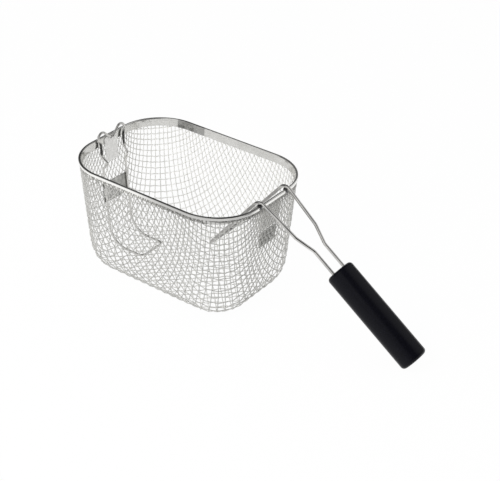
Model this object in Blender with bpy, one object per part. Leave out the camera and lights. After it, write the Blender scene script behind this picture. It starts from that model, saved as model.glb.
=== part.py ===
# Deep fryer basket: a drawn cup of woven wire with a folded rim band, a hook frame at
# one end and a wire handle with a plastic grip swung down over the rim at the other.
# The basket stands on a table and the tip of the grip lies on the same table.
# Lengths are metres. X runs along the basket towards the handle, Z is up, and the
# origin is on the table under the middle of the basket.

import math

import bmesh
import bpy
import numpy as np
from mathutils import Vector

# Basket form, measured over the rim band
RIM_LENGTH = 0.220
RIM_WIDTH = 0.153
RIM_CORNER = 0.051
RIM_HEIGHT = 0.1275
WALL_LEAN = 0.0106
BASE_CORNER_LOSS = 0.012
BASE_CURVE_IN = 0.017
BASE_CURVE_UP = 0.0295
CORNER_STEPS = 10

# Clearance between pieces that touch on the real basket
FIT_GAP = 0.0003

# Rim band, a strip folded over the edge of the wire cloth, deeper on the inside
BAND_DEPTH = 0.009
BAND_LIP = 0.0036
BAND_SHEET = 0.0005
BAND_ROUND = 0.0007
LAP_START = -0.072
LAP_END = -0.036
LAP_STEP = 0.0002
LAP_RAMP = 0.0004

# Wire cloth: every fifth wire of the cloth is a ridge here
WIRE_PITCH = 0.0070
WIRES_PER_RIDGE = 5
STEPS_PER_RIDGE = 4
NET_HALF_COUNT = 36
NET_TOP = 0.165
NET_ROUNDS = 500
DIAGONAL_HOLD = 0.1
BEND_HOLD = 0.6
SLACK_HOLD = 0.3
RELAX_STEP = 1.3
RIDGE_WIDTH = 0.0026
RIDGE_FACE = 0.0014
RIDGE_THICKNESS = 0.0012
WEAVE_RISE = 0.0004
RIDGE_END_SHARE = 0.7
CREST_FADE = 0.004
CREST_CLEAR = 0.001
HEM_THICKNESS = 0.0013
HEM_DEPTH = 0.0048
WIRE_IN_HEM = 0.0010
SHORTEST_END = 0.0012
STRAIGHT_ENOUGH = 0.0002

# Hook frame and its plates at the -X end
HOOK_WIRE = 0.0026
HOOK_SPACING = 0.035
HOOK_FOOT_END = -0.050
HOOK_FOOT_BEND = 0.024
HOOK_KINK_DROP = 0.0265
HOOK_KINK_DEPTH = 0.0065
HOOK_KINK_SIDE = 0.002
HOOK_KINK_HALF = 0.007
HOOK_NECK_DROP = 0.006
HOOK_SHOULDER_OUT = 0.0035
HOOK_SHOULDER_RISE = 0.003
HOOK_TOP_SPACING = 0.029
HOOK_TOP_RISE = 0.0093
HOOK_VALLEY_DROP = 0.0027
HOOK_END_SPACING = 0.0026
HOOK_BEND = 0.003
PLATE_SHEET = 0.0008
PLATE_CORNER = 0.003
HOOK_PLATE_WIDTH = 0.039
HOOK_PLATE_LENGTH = 0.023
HOOK_PLATE_BELOW_STRAP = 0.023
HOOK_STRAP_WIDTH = 0.019
HOOK_STRAP_LENGTH = 0.028

# Handle wire, its seats on the rim and the plates at the +X end
HANDLE_WIRE = 0.0034
HANDLE_SPACING = 0.0433
HANDLE_BEND = 0.008
LEG_SLOPE = math.radians(50.2)
LEG_ROOM = 0.0006
LEG_LENGTH = 0.097
LEG_CORNER = 0.008
NECK_START = 0.051
NECK_END = 0.072
NECK_START_SPACING = 0.0336
NECK_SPACING = 0.0179
NECK_BEND = 0.010
WIRE_IN_GRIP = 0.070
SEAT_WIDTH = 0.0034
SEAT_SHEET = 0.0006
SEAT_INSIDE = 0.006
END_PLATE_WIDTH = 0.028
END_PLATE_LENGTH = 0.0185
END_PLATE_BELOW_STRAP = 0.0013
END_STRAP_WIDTH = 0.034
END_STRAP_LENGTH = 0.0342
STRAP_BELOW_TOP = 0.0015

# Grip
GRIP_START = 0.1004
GRIP_LENGTH = 0.114
GRIP_WIDTH = 0.029
GRIP_THICKNESS = 0.027
GRIP_END_ROUND = 0.004
GRIP_SQUARENESS = 2.3

# How finely curves are drawn
ARC_STEP = math.radians(20)
WIRE_SIDE_STEPS = 2
PLATE_CORNER_STEPS = 3
GRIP_SIDES = 24
GRIP_END_STEPS = 4
SLOPE_REACH = 0.00005
LONGEST_MOVE = 0.008

# Sizes that follow from the ones above
CLOTH_INSET = BAND_SHEET + FIT_GAP + HEM_THICKNESS / 2
CLOTH_LIFT = RIDGE_THICKNESS / 2
CLOTH_INSIDE = RIDGE_THICKNESS / 2 + WEAVE_RISE
BAND_HALF = CLOTH_INSET
RIDGE_PITCH = WIRE_PITCH * WIRES_PER_RIDGE
STEP_PITCH = RIDGE_PITCH / STEPS_PER_RIDGE
BAND_LOW = RIM_HEIGHT - BAND_DEPTH
LIP_LOW = RIM_HEIGHT - BAND_LIP
HEM_LOW = RIM_HEIGHT - HEM_DEPTH
HEM_HIGH = RIM_HEIGHT - BAND_SHEET - FIT_GAP
HOOK_OFFSET = CLOTH_INSIDE + FIT_GAP + PLATE_SHEET + FIT_GAP + HOOK_WIRE / 2
PLATE_OFFSET = CLOTH_INSIDE + FIT_GAP
STRAP_OFFSET = BAND_HALF + FIT_GAP
ARCH_OFFSET = STRAP_OFFSET + PLATE_SHEET + FIT_GAP + HOOK_WIRE / 2
SEAT_INNER = BAND_HALF + FIT_GAP
SEAT_OUTER = SEAT_INNER + SEAT_SHEET
SEAT_TOP = RIM_HEIGHT + FIT_GAP + SEAT_SHEET
LEAN_SLOPE = WALL_LEAN / RIM_HEIGHT
STRAP_HIGH = RIM_HEIGHT - STRAP_BELOW_TOP
HOOK_STRAP_LOW = STRAP_HIGH - HOOK_STRAP_LENGTH
HOOK_PLATE_HIGH = HOOK_STRAP_LOW - HOOK_PLATE_BELOW_STRAP
HOOK_PLATE_LOW = HOOK_PLATE_HIGH - HOOK_PLATE_LENGTH
END_STRAP_LOW = STRAP_HIGH - END_STRAP_LENGTH
END_PLATE_HIGH = END_STRAP_LOW - END_PLATE_BELOW_STRAP
END_PLATE_LOW = END_PLATE_HIGH - END_PLATE_LENGTH


def clear_scene():
    for item in list(bpy.data.objects):
        bpy.data.objects.remove(item, do_unlink=True)


def make_material(name, colour, metallic, roughness):
    material = bpy.data.materials.new(name)
    material.use_nodes = True
    shader = material.node_tree.nodes["Principled BSDF"]
    shader.inputs["Base Color"].default_value = (*colour, 1.0)
    shader.inputs["Metallic"].default_value = metallic
    shader.inputs["Roughness"].default_value = roughness
    return material


def add_object(name, work, material, smooth=True):
    bmesh.ops.recalc_face_normals(work, faces=work.faces)
    mesh = bpy.data.meshes.new(name)
    work.to_mesh(mesh)
    work.free()
    for face in mesh.polygons:
        face.use_smooth = smooth
    item = bpy.data.objects.new(name, mesh)
    item.data.materials.append(material)
    bpy.context.scene.collection.objects.link(item)
    return item


def apply_boolean(item, other, operation):
    step = item.modifiers.new("join", "BOOLEAN")
    step.object = other
    step.operation = operation
    step.solver = "EXACT"
    bpy.context.view_layer.update()
    seen = item.evaluated_get(bpy.context.evaluated_depsgraph_get())
    result = bpy.data.meshes.new_from_object(seen)
    item.modifiers.clear()
    item.data = result
    bpy.data.objects.remove(other, do_unlink=True)


# Cloth form: level sets of a rounded box whose outline shrinks towards the base

def outline_size(height, inset):
    fall = (RIM_HEIGHT - height) / RIM_HEIGHT
    half_x = RIM_LENGTH / 2 - inset - WALL_LEAN * fall
    half_y = RIM_WIDTH / 2 - inset - WALL_LEAN * fall
    corner = RIM_CORNER - inset - BASE_CORNER_LOSS * fall
    return half_x, half_y, corner


def outline_distance(x, y, half_x, half_y, corner):
    over_x = np.abs(x) - (half_x - corner)
    over_y = np.abs(y) - (half_y - corner)
    outside = np.hypot(np.maximum(over_x, 0), np.maximum(over_y, 0))
    return outside + np.minimum(np.maximum(over_x, over_y), 0) - corner


def form_level(points):
    height = points[..., 2]
    half_x, half_y, corner = outline_size(height, CLOTH_INSET)
    side = outline_distance(points[..., 0], points[..., 1], half_x, half_y, corner)
    across = (side + BASE_CURVE_IN) / BASE_CURVE_IN
    down = (BASE_CURVE_UP - (height - CLOTH_LIFT)) / BASE_CURVE_UP
    curved = np.sqrt(across * across + down * down)
    plain = np.maximum(across, down)
    return np.where((across > 0) & (down > 0), curved, plain) - 1


def form_slope(points):
    slope = np.empty_like(points)
    for axis in range(3):
        shift = np.zeros(3)
        shift[axis] = SLOPE_REACH
        change = form_level(points + shift) - form_level(points - shift)
        slope[..., axis] = change / (2 * SLOPE_REACH)
    return slope


def onto_form(points, rounds):
    for _ in range(rounds):
        slope = form_slope(points)
        square = np.maximum((slope * slope).sum(-1), 1e-9)
        move = (form_level(points) / square)[..., None] * slope
        length = np.linalg.norm(move, axis=-1, keepdims=True)
        move *= np.minimum(1, LONGEST_MOVE / np.maximum(length, 1e-12))
        points = points - move
    return points


def form_normal(point):
    slope = form_slope(np.asarray(point, dtype=float))
    return slope / np.linalg.norm(slope)


def laid_net(pitch, half_count):
    # A flat square net on the bias, first folded up over the form like a sheet
    row, column = np.meshgrid(
        np.arange(-half_count, half_count + 1),
        np.arange(-half_count, half_count + 1),
        indexing="ij",
    )
    flat_x = (row + column) * pitch / math.sqrt(2)
    flat_y = (row - column) * pitch / math.sqrt(2)
    half_x, half_y, corner = outline_size(CLOTH_LIFT, CLOTH_INSET)
    over_x = np.maximum(np.abs(flat_x) - (half_x - corner), 0)
    over_y = np.maximum(np.abs(flat_y) - (half_y - corner), 0)
    over = np.hypot(over_x, over_y)
    level = corner - BASE_CURVE_IN
    curve = math.pi / 2 * math.sqrt((BASE_CURVE_IN**2 + BASE_CURVE_UP**2) / 2)
    turn = np.clip((over - level) / curve, 0, 1) * math.pi / 2
    wall = np.maximum(over - level - curve, 0)
    radius = np.minimum(over, level) + BASE_CURVE_IN * np.sin(turn) + wall * LEAN_SLOPE
    share = radius / np.maximum(over, 1e-9)
    x = np.sign(flat_x) * (np.minimum(np.abs(flat_x), half_x - corner) + over_x * share)
    y = np.sign(flat_y) * (np.minimum(np.abs(flat_y), half_y - corner) + over_y * share)
    height = BASE_CURVE_UP * (1 - np.cos(turn)) + wall
    return onto_form(np.stack([x, y, height + CLOTH_LIFT], -1), 3)


def link_slices(size, down, along):
    if along >= 0:
        return (
            (slice(0, size - down), slice(0, size - along)),
            (slice(down, None), slice(along, None)),
        )
    return (
        (slice(0, size - down), slice(-along, None)),
        (slice(down, None), slice(0, size + along)),
    )


def relaxed_net(pitch, half_count):
    # Wires keep their length, resist bending and may slide a little where they cross
    points = laid_net(pitch, half_count)
    live = points[..., 2] < NET_TOP
    size = points.shape[0]
    diagonal = pitch * math.sqrt(2)
    links = (
        (1, 0, pitch, 1.0),
        (0, 1, pitch, 1.0),
        (1, 1, diagonal, DIAGONAL_HOLD),
        (1, -1, diagonal, DIAGONAL_HOLD),
    )
    for _ in range(NET_ROUNDS):
        move = np.zeros_like(points)
        weight = np.zeros(points.shape[:2])
        for down, along, rest, hold in links:
            first, second = link_slices(size, down, along)
            span = points[second] - points[first]
            length = np.maximum(np.linalg.norm(span, axis=-1), 1e-9)
            pull = (live[first] & live[second]) * hold
            pull = pull * np.where(length < rest, SLACK_HOLD, 1.0)
            push = (pull * (length - rest) / length / 2)[..., None] * span
            move[first] += push
            move[second] -= push
            weight[first] += pull
            weight[second] += pull
        for axis in range(2):
            middle = tuple(slice(1, -1) if k == axis else slice(None) for k in range(2))
            before = tuple(slice(0, -2) if k == axis else slice(None) for k in range(2))
            after = tuple(slice(2, None) if k == axis else slice(None) for k in range(2))
            pull = (live[before] & live[after] & live[middle]) * BEND_HOLD
            target = (points[before] + points[after]) / 2
            move[middle] += pull[..., None] * (target - points[middle])
            weight[middle] += pull
        points = points + move / np.maximum(weight, 1e-9)[..., None] * RELAX_STEP
        points = onto_form(points, 1)
    return onto_form(points, 3)


# Ridges of the cloth: a five-sided bar with a flat outer face and an inner crest

class Ridges:
    def __init__(self, points):
        self.work = bmesh.new()
        self.points = points
        self.centre = points.shape[0] // 2
        self.top = HEM_LOW + WIRE_IN_HEM
        self.nodes = {}

    def at(self, row, column):
        return self.points[self.centre + row, self.centre + column]

    def inside(self, row, column):
        return self.at(row, column)[2] < self.top

    def vertex(self, point):
        return self.work.verts.new(point)

    def crest(self, point, wave):
        # The crest is level where the cloth goes in behind the band
        fade = (BAND_LOW - CREST_CLEAR - point[2]) / CREST_FADE
        fade = min(1.0, max(0.0, fade))
        return RIDGE_THICKNESS / 2 + WEAVE_RISE * wave * fade

    def add_node(self, row, column):
        centre = self.at(row, column)
        normal = form_normal(centre)
        arms = []
        for down, along in ((1, 0), (0, 1), (-1, 0), (0, -1)):
            way = self.at(row + down, column + along) - centre
            way = way - normal * way.dot(normal)
            arms.append(way / np.linalg.norm(way))
        corners = []
        longest = [0.0, 0.0, 0.0, 0.0]
        for k in range(4):
            first, second = arms[k], arms[(k + 1) % 4]
            spread = np.linalg.norm(np.cross(first, second))
            side = (first + second) * (RIDGE_WIDTH / 2 / spread)
            face = (first + second) * (RIDGE_FACE / 2 / spread)
            outer = normal * (RIDGE_THICKNESS / 2)
            corners.append((self.vertex(centre + side), self.vertex(centre + face + outer)))
            longest[k] = max(longest[k], side.dot(first))
            longest[(k + 1) % 4] = max(longest[(k + 1) % 4], side.dot(second))
        wave = 1 if (row + column) // STEPS_PER_RIDGE % 2 == 0 else -1
        peak = self.vertex(centre - normal * self.crest(centre, 1))
        crests = []
        for k in range(4):
            over = wave if k % 2 == 0 else -wave
            height = self.crest(centre, over)
            crests.append(self.vertex(centre + arms[k] * longest[k] - normal * height))
        for k in range(4):
            self.work.faces.new((peak, crests[k], corners[k][0]))
            self.work.faces.new((peak, corners[k][0], crests[(k + 1) % 4]))
        self.work.faces.new([corner[1] for corner in corners])
        self.nodes[(row, column)] = (corners, crests, wave, longest)

    def node_ring(self, row, column, k):
        corners, crests, _, _ = self.nodes[(row, column)]
        left, right = corners[k], corners[k - 1]
        return [right[1], right[0], crests[k], left[0], left[1]]

    def section(self, point, way, wave, scale):
        normal = form_normal(point)
        way = way - normal * way.dot(normal)
        way = way / np.linalg.norm(way)
        left = np.cross(normal, way)
        outer = normal * (RIDGE_THICKNESS / 2 * scale)
        inner = normal * (self.crest(point, wave) * scale)
        return [
            self.vertex(point - left * (RIDGE_FACE / 2) + outer),
            self.vertex(point - left * (RIDGE_WIDTH / 2)),
            self.vertex(point - inner),
            self.vertex(point + left * (RIDGE_WIDTH / 2)),
            self.vertex(point + left * (RIDGE_FACE / 2) + outer),
        ]

    def bridge(self, first, second):
        for k in range(5):
            other = (k + 1) % 5
            self.work.faces.new((first[k], first[other], second[other], second[k]))

    def needed_steps(self, track):
        # The middle section carries the change from over to under
        middle = STEPS_PER_RIDGE // 2
        kept = []
        for step in range(1, STEPS_PER_RIDGE):
            before = track[step - 1]
            chord = track[step + 1] - before
            chord = chord / np.linalg.norm(chord)
            offset = track[step] - before
            offset = offset - chord * offset.dot(chord)
            if step == middle or np.linalg.norm(offset) > STRAIGHT_ENOUGH:
                kept.append(step)
        return kept

    def add_arm(self, row, column, k):
        down, along = ((1, 0), (0, 1), (-1, 0), (0, -1))[k]
        wave = self.nodes[(row, column)][2] * (1 if k % 2 == 0 else -1)
        track = []
        for step in range(STEPS_PER_RIDGE + 1):
            track.append(self.at(row + down * step, column + along * step))
        far = (row + down * STEPS_PER_RIDGE, column + along * STEPS_PER_RIDGE)
        ring = self.node_ring(row, column, k)
        if far in self.nodes:
            for step in self.needed_steps(track):
                way = track[step + 1] - track[step - 1]
                turn = math.cos(math.pi * step / STEPS_PER_RIDGE)
                following = self.section(track[step], way, wave * turn, 1.0)
                self.bridge(ring, following)
                ring = following
            last = self.node_ring(far[0], far[1], (k + 2) % 4)
            self.bridge(ring, last[::-1])
            return
        start = self.nodes[(row, column)][3][k]
        end = self.cut_length(track, start)
        walked = 0.0
        for step in range(1, len(track)):
            span = np.linalg.norm(track[step] - track[step - 1])
            if walked + span > end - SHORTEST_END / 2:
                share = (end - walked) / span
                point = track[step - 1] + (track[step] - track[step - 1]) * share
                point = onto_form(point, 2)
                way = track[step] - track[step - 1]
                following = self.section(point, way, 0, RIDGE_END_SHARE)
                self.bridge(ring, following)
                self.work.faces.new(following)
                return
            walked += span
            if walked < start + SHORTEST_END / 2:
                continue
            way = track[min(step + 1, len(track) - 1)] - track[step - 1]
            turn = math.cos(math.pi * step / STEPS_PER_RIDGE)
            following = self.section(track[step], way, wave * turn, 1.0)
            self.bridge(ring, following)
            ring = following
        raise RuntimeError("a ridge does not reach the hem")

    def cut_length(self, track, start):
        walked = 0.0
        for step in range(1, len(track)):
            span = np.linalg.norm(track[step] - track[step - 1])
            if track[step][2] >= self.top:
                rise = track[step][2] - track[step - 1][2]
                share = (self.top - track[step - 1][2]) / rise
                return max(walked + span * share, start + SHORTEST_END)
            walked += span
        return walked

    def build(self):
        reach = (self.centre // STEPS_PER_RIDGE - 1) * STEPS_PER_RIDGE
        stations = range(-reach, reach + 1, STEPS_PER_RIDGE)
        for row in stations:
            for column in stations:
                if self.inside(row, column):
                    self.add_node(row, column)
        for row, column in list(self.nodes):
            for k in range(4):
                down, along = ((1, 0), (0, 1), (-1, 0), (0, -1))[k]
                far = (row + down * STEPS_PER_RIDGE, column + along * STEPS_PER_RIDGE)
                if far in self.nodes and k > 1:
                    continue
                self.add_arm(row, column, k)
        return self.work


# Rings round the rim

def rim_stations():
    # Places round the outline: corner signs, direction, place along X and lap cover
    stations = []
    for quarter in range(4):
        sign_x = (1, -1, -1, 1)[quarter]
        sign_y = (1, 1, -1, -1)[quarter]
        for step in range(CORNER_STEPS + 1):
            angle = (quarter + step / CORNER_STEPS) * math.pi / 2
            x = (RIM_CORNER - RIM_LENGTH / 2) + RIM_CORNER * math.cos(angle)
            lap = 1 if quarter == 1 and x > LAP_START else 0
            stations.append((sign_x, sign_y, angle, None, lap))
        if quarter == 0:
            stations.append((1, 1, math.pi / 2, LAP_END + LAP_RAMP, 0))
            stations.append((1, 1, math.pi / 2, LAP_END, 1))
    return stations


def rim_ring(work, stations, inset, height, lap_inset):
    ring = []
    for sign_x, sign_y, angle, fixed_x, lap in stations:
        half_x, half_y, corner = outline_size(height, inset + lap * lap_inset)
        x = sign_x * (half_x - corner) + corner * math.cos(angle)
        y = sign_y * (half_y - corner) + corner * math.sin(angle)
        if fixed_x is not None:
            x = fixed_x
        ring.append(work.verts.new((x, y, height)))
    return ring


def closed_rings(work, rings):
    count = len(rings[0])
    for index, ring in enumerate(rings):
        following = rings[(index + 1) % len(rings)]
        for k in range(count):
            other = (k + 1) % count
            work.faces.new((ring[k], ring[other], following[other], following[k]))


def make_hem():
    work = bmesh.new()
    stations = rim_stations()
    inset = CLOTH_INSET
    half = HEM_THICKNESS / 2
    profile = (
        (inset - half, HEM_LOW),
        (inset - half, HEM_HIGH),
        (inset + half, HEM_HIGH),
        (inset + half, HEM_LOW),
    )
    rings = [rim_ring(work, stations, inset, height, 0.0) for inset, height in profile]
    closed_rings(work, rings)
    return work


def make_band(material):
    work = bmesh.new()
    stations = rim_stations()
    full = 2 * BAND_HALF
    profile = (
        (0.0, LIP_LOW, 0.0),
        (0.0, RIM_HEIGHT - BAND_ROUND, 0.0),
        (BAND_ROUND, RIM_HEIGHT, 0.0),
        (full - BAND_ROUND, RIM_HEIGHT, 0.0),
        (full, RIM_HEIGHT - BAND_ROUND, LAP_STEP),
        (full, BAND_LOW, LAP_STEP),
        (full - BAND_SHEET, BAND_LOW, 0.0),
        (full - BAND_SHEET, RIM_HEIGHT - BAND_SHEET, 0.0),
        (BAND_SHEET, RIM_HEIGHT - BAND_SHEET, 0.0),
        (BAND_SHEET, LIP_LOW, 0.0),
    )
    rings = [rim_ring(work, stations, inset, height, lap) for inset, height, lap in profile]
    closed_rings(work, rings)
    return add_object("rim_band", work, material)


# Bent wire

def rounded_path(corners, radii):
    places = [Vector(corners[0])]
    for index in range(1, len(corners) - 1):
        before = Vector(corners[index - 1])
        corner = Vector(corners[index])
        after = Vector(corners[index + 1])
        back = (before - corner).normalized()
        ahead = (after - corner).normalized()
        turn = math.pi - back.angle(ahead)
        radius = radii[index]
        setback = radius * math.tan(turn / 2)
        centre = corner + (back + ahead).normalized() * (radius / math.cos(turn / 2))
        spin = (corner + back * setback - centre).normalized()
        side = (-back).cross(ahead).normalized().cross(spin)
        steps = max(1, math.ceil(turn / ARC_STEP))
        for step in range(steps + 1):
            angle = turn * step / steps
            places.append(centre + (spin * math.cos(angle) + side * math.sin(angle)) * radius)
    places.append(Vector(corners[-1]))
    return places


def bent_wire(name, places, diameter, material):
    curve = bpy.data.curves.new(name, "CURVE")
    curve.dimensions = "3D"
    curve.bevel_depth = diameter / 2
    curve.bevel_resolution = WIRE_SIDE_STEPS
    curve.use_fill_caps = True
    spline = curve.splines.new("POLY")
    spline.points.add(len(places) - 1)
    for point, place in zip(spline.points, places):
        point.co = (*place, 1.0)
    drawn = bpy.data.objects.new(name, curve)
    bpy.context.scene.collection.objects.link(drawn)
    bpy.context.view_layer.update()
    seen = drawn.evaluated_get(bpy.context.evaluated_depsgraph_get())
    mesh = bpy.data.meshes.new_from_object(seen)
    bpy.data.objects.remove(drawn, do_unlink=True)
    work = bmesh.new()
    work.from_mesh(mesh)
    bpy.data.meshes.remove(mesh)
    bmesh.ops.remove_doubles(work, verts=work.verts, dist=FIT_GAP / 100)
    return add_object(name, work, material)


# Places measured from the cloth on an end wall: offset inwards, height, width

def wall_place(end, offset, height, across):
    half_x, _, _ = outline_size(height, CLOTH_INSET)
    return Vector((end * (half_x - offset), across, height))


def rim_place(offset, height, across):
    # Like a place on the +X wall, and it also follows the outline round a corner
    half_x, half_y, corner = outline_size(height, CLOTH_INSET + offset)
    past = max(0.0, abs(across) - (half_y - corner))
    reach = half_x - corner + math.sqrt(corner * corner - past * past)
    return Vector((reach, across, height))


def make_plate(name, end, width, low, high, offset, material):
    work = bmesh.new()
    outline = []
    for quarter in range(4):
        sign_y = (1, -1, -1, 1)[quarter]
        sign_z = (1, 1, -1, -1)[quarter]
        for step in range(PLATE_CORNER_STEPS + 1):
            angle = (quarter + step / PLATE_CORNER_STEPS) * math.pi / 2
            across = sign_y * (width / 2 - PLATE_CORNER) + PLATE_CORNER * math.cos(angle)
            middle = (low + high) / 2 + sign_z * ((high - low) / 2 - PLATE_CORNER)
            outline.append((across, middle + PLATE_CORNER * math.sin(angle)))
    rings = []
    for depth in (offset, offset + PLATE_SHEET):
        rings.append([work.verts.new(wall_place(end, depth, z, y)) for y, z in outline])
    work.faces.new(rings[0])
    work.faces.new(rings[1][::-1])
    count = len(outline)
    for k in range(count):
        other = (k + 1) % count
        work.faces.new((rings[0][k], rings[0][other], rings[1][other], rings[1][k]))
    return add_object(name, work, material, smooth=False)


def make_seat(name, across, material):
    inside = RIM_HEIGHT - SEAT_INSIDE
    under = RIM_HEIGHT + FIT_GAP
    profile = (
        (-SEAT_OUTER, LIP_LOW),
        (-SEAT_OUTER, SEAT_TOP),
        (SEAT_OUTER, SEAT_TOP),
        (SEAT_OUTER, inside),
        (SEAT_INNER, inside),
        (SEAT_INNER, under),
        (-SEAT_INNER, under),
        (-SEAT_INNER, LIP_LOW),
    )
    work = bmesh.new()
    rings = []
    for shift in (-SEAT_WIDTH / 2, SEAT_WIDTH / 2):
        rings.append([work.verts.new(rim_place(o, z, across + shift)) for o, z in profile])
    work.faces.new(rings[0])
    work.faces.new(rings[1][::-1])
    count = len(profile)
    for k in range(count):
        other = (k + 1) % count
        work.faces.new((rings[0][k], rings[0][other], rings[1][other], rings[1][k]))
    return add_object(name, work, material, smooth=False)


def make_hook_wire(material):
    # Both ends meet on the strap; each leg arches over them and runs down to the foot
    radius = HOOK_WIRE / 2
    floor = CLOTH_LIFT + CLOTH_INSIDE + FIT_GAP + radius
    kink_offset = HOOK_OFFSET + HOOK_KINK_DEPTH
    kink = RIM_HEIGHT - HOOK_KINK_DROP
    neck = RIM_HEIGHT - HOOK_NECK_DROP
    shoulder = RIM_HEIGHT + HOOK_SHOULDER_RISE
    top = RIM_HEIGHT + HOOK_TOP_RISE
    valley = RIM_HEIGHT - HOOK_VALLEY_DROP
    leg = HOOK_SPACING / 2
    half = (
        (wall_place(-1, ARCH_OFFSET, valley, HOOK_END_SPACING / 2), 0),
        (wall_place(-1, ARCH_OFFSET, top, HOOK_TOP_SPACING / 2), 2 * HOOK_BEND),
        (wall_place(-1, ARCH_OFFSET, shoulder, leg + HOOK_SHOULDER_OUT), HOOK_BEND),
        (wall_place(-1, ARCH_OFFSET, neck, leg), HOOK_BEND),
        (wall_place(-1, HOOK_OFFSET, kink + HOOK_KINK_HALF, leg), HOOK_BEND),
        (wall_place(-1, kink_offset, kink, leg - HOOK_KINK_SIDE), HOOK_BEND),
        (wall_place(-1, HOOK_OFFSET, kink - HOOK_KINK_HALF, leg), HOOK_BEND),
        (wall_place(-1, HOOK_OFFSET, floor, leg), HOOK_FOOT_BEND),
        (Vector((HOOK_FOOT_END, leg, floor)), 2 * HOOK_BEND),
    )
    corners = []
    radii = []
    for sign, order in ((-1, half), (1, half[::-1])):
        corners.extend(Vector((place.x, sign * place.y, place.z)) for place, _ in order)
        radii.extend(bend for _, bend in order)
    return bent_wire("hook_wire", rounded_path(corners, radii), HOOK_WIRE, material)


# Handle layout in the XZ plane

def crossing(first_normal, first_level, second_normal, second_level):
    a, b = first_normal
    c, d = second_normal
    scale = a * d - b * c
    return (
        (first_level * d - b * second_level) / scale,
        (a * second_level - first_level * c) / scale,
    )


def handle_apex(drop):
    # Both straight runs clear the corners of the seat by one fit gap
    radius = HANDLE_WIRE / 2
    outer = rim_place(-SEAT_OUTER, SEAT_TOP, HANDLE_SPACING / 2)
    inner = rim_place(SEAT_OUTER, SEAT_TOP, HANDLE_SPACING / 2)
    out_normal = (math.sin(drop), math.cos(drop))
    in_normal = (-math.sin(LEG_SLOPE), math.cos(LEG_SLOPE))
    out_level = outer.x * out_normal[0] + outer.z * out_normal[1] + radius + FIT_GAP
    in_level = inner.x * in_normal[0] + inner.z * in_normal[1] + radius + FIT_GAP + LEG_ROOM
    return crossing(out_normal, out_level, in_normal, in_level)


def grip_profile():
    # Distance along the grip and how much its half sizes shrink there
    near = []
    for step in range(GRIP_END_STEPS + 1):
        angle = step / GRIP_END_STEPS * math.pi / 2
        near.append((GRIP_END_ROUND * (1 - math.cos(angle)), GRIP_END_ROUND * (1 - math.sin(angle))))
    return near + [(GRIP_LENGTH - along, shrink) for along, shrink in reversed(near)]


def grip_low_point(drop):
    x, z = handle_apex(drop)
    lowest = z
    for along, shrink in grip_profile():
        reach = GRIP_START + along
        depth = GRIP_THICKNESS / 2 - shrink
        lowest = min(lowest, z - reach * math.sin(drop) - depth * math.cos(drop))
    return lowest


def drop_angle():
    shallow = math.radians(20)
    steep = math.radians(50)
    for _ in range(50):
        middle = (shallow + steep) / 2
        if grip_low_point(middle) > 0:
            shallow = middle
        else:
            steep = middle
    return shallow


def handle_frame():
    drop = drop_angle()
    apex_x, apex_z = handle_apex(drop)
    apex = Vector((apex_x, 0, apex_z))
    out = Vector((math.cos(drop), 0, -math.sin(drop)))
    leg = Vector((-math.cos(LEG_SLOPE), 0, -math.sin(LEG_SLOPE)))
    turn = math.pi - out.angle(leg)
    pivot = apex + (out + leg).normalized() * (HANDLE_BEND / math.cos(turn / 2))
    return apex, out, leg, pivot


def make_handle_wire(material, parent):
    apex, out, leg, pivot = handle_frame()
    half = (
        (out * (GRIP_START + WIRE_IN_GRIP), NECK_SPACING, 0),
        (out * NECK_END, NECK_SPACING, NECK_BEND),
        (out * NECK_START, NECK_START_SPACING, NECK_BEND),
        (Vector((0, 0, 0)), HANDLE_SPACING, HANDLE_BEND),
        (leg * LEG_LENGTH, HANDLE_SPACING, LEG_CORNER),
    )
    corners = []
    radii = []
    for sign, order in ((-1, half), (1, half[::-1])):
        for reach, spacing, bend in order:
            corners.append(apex - pivot + reach + Vector((0, sign * spacing / 2, 0)))
            radii.append(bend)
    item = bent_wire("handle_wire", rounded_path(corners, radii), HANDLE_WIRE, material)
    item.parent = parent


def squared(value):
    return math.copysign(abs(value) ** (2 / GRIP_SQUARENESS), value)


def make_grip(material, parent):
    apex, out, _, pivot = handle_frame()
    up = Vector((-out.z, 0, out.x))
    across = Vector((0, 1, 0))
    work = bmesh.new()
    rings = []
    for along, shrink in grip_profile():
        centre = apex + out * (GRIP_START + along) - pivot
        ring = []
        for k in range(GRIP_SIDES):
            angle = (k + 0.5) * 2 * math.pi / GRIP_SIDES
            offset = across * (squared(math.cos(angle)) * (GRIP_WIDTH / 2 - shrink))
            offset = offset + up * (squared(math.sin(angle)) * (GRIP_THICKNESS / 2 - shrink))
            ring.append(work.verts.new(centre + offset))
        rings.append(ring)
    for first, second in zip(rings, rings[1:]):
        for k in range(GRIP_SIDES):
            other = (k + 1) % GRIP_SIDES
            work.faces.new((first[k], first[other], second[other], second[k]))
    work.faces.new(rings[0])
    work.faces.new(rings[-1])
    item = add_object("grip", work, material)
    for sign in (-1, 1):
        side = apex - pivot + Vector((0, sign * NECK_SPACING / 2, 0))
        start = side + out * (GRIP_START - GRIP_END_ROUND)
        end = side + out * (GRIP_START + WIRE_IN_GRIP + FIT_GAP)
        cutter = bent_wire("grip_bore", [start, end], HANDLE_WIRE + 2 * FIT_GAP, material)
        cutter.hide_render = True
        cutter.display_type = "WIRE"
        apply_boolean(item, cutter, "DIFFERENCE")
    item.parent = parent


def make_cloth(material):
    points = relaxed_net(STEP_PITCH, NET_HALF_COUNT)
    hem = add_object("wire_cloth", make_hem(), material)
    ridges = add_object("wire_ridges", Ridges(points).build(), material)
    apply_boolean(hem, ridges, "UNION")
    return hem


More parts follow.
